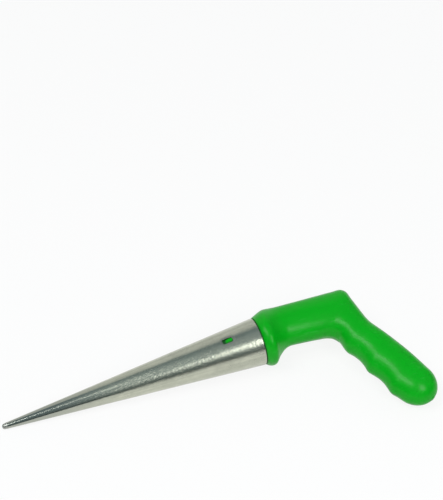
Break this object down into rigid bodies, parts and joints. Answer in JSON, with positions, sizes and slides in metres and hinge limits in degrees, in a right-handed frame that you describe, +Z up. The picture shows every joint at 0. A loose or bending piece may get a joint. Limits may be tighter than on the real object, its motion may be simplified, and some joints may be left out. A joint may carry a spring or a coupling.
{
  "type": "dibber",
  "caption": "Hand dibber for planting holes: a galvanised sheet-steel cone with a blunt nose and a green moulded pistol grip that snaps into its open end.",
  "frame": {"origin": "middle of the footprint on the surface that the tool lies on", "axes": "+Z up from that surface, +X along the cone from its nose to the grip, the grip reaching towards -Y"},
  "size_m": [0.3144, 0.1152, 0.0417],
  "materials": {
    "galvanised_sheet": "hot-dip galvanised, satin with fine mottling and streaks along the cone",
    "weld_bead": "rippled weld bead, dull grey",
    "nose_steel": "ground smooth, rubbed by soil",
    "green_plastic": "moulded, semi-gloss bright green"
  },
  "bodies": {
    "dibber": {"cone_shell": "galvanised_sheet", "seam_weld": "weld_bead", "cone_point": "nose_steel", "handle_left_half": "green_plastic", "handle_right_half": "green_plastic"},
    "latch_left": {"latch_left": "green_plastic"},
    "latch_right": {"latch_right": "green_plastic"}
  },
  "joints": [
    {"name": "latch_left_flex", "type": "hinge", "parent": "dibber", "child": "latch_left", "pos_m": [0.03557, 0.03227, 0.03368], "axis": [0.0178, -0.9801, -0.1977], "range_deg": [0, 5], "stiffness_Nm_per_rad": 4},
    {"name": "latch_right_flex", "type": "hinge", "parent": "dibber", "child": "latch_right", "pos_m": [0.03811, 0.03802, 0.00542], "axis": [-0.0178, 0.9801, 0.1977], "range_deg": [0, 5], "stiffness_Nm_per_rad": 4}
  ]
}
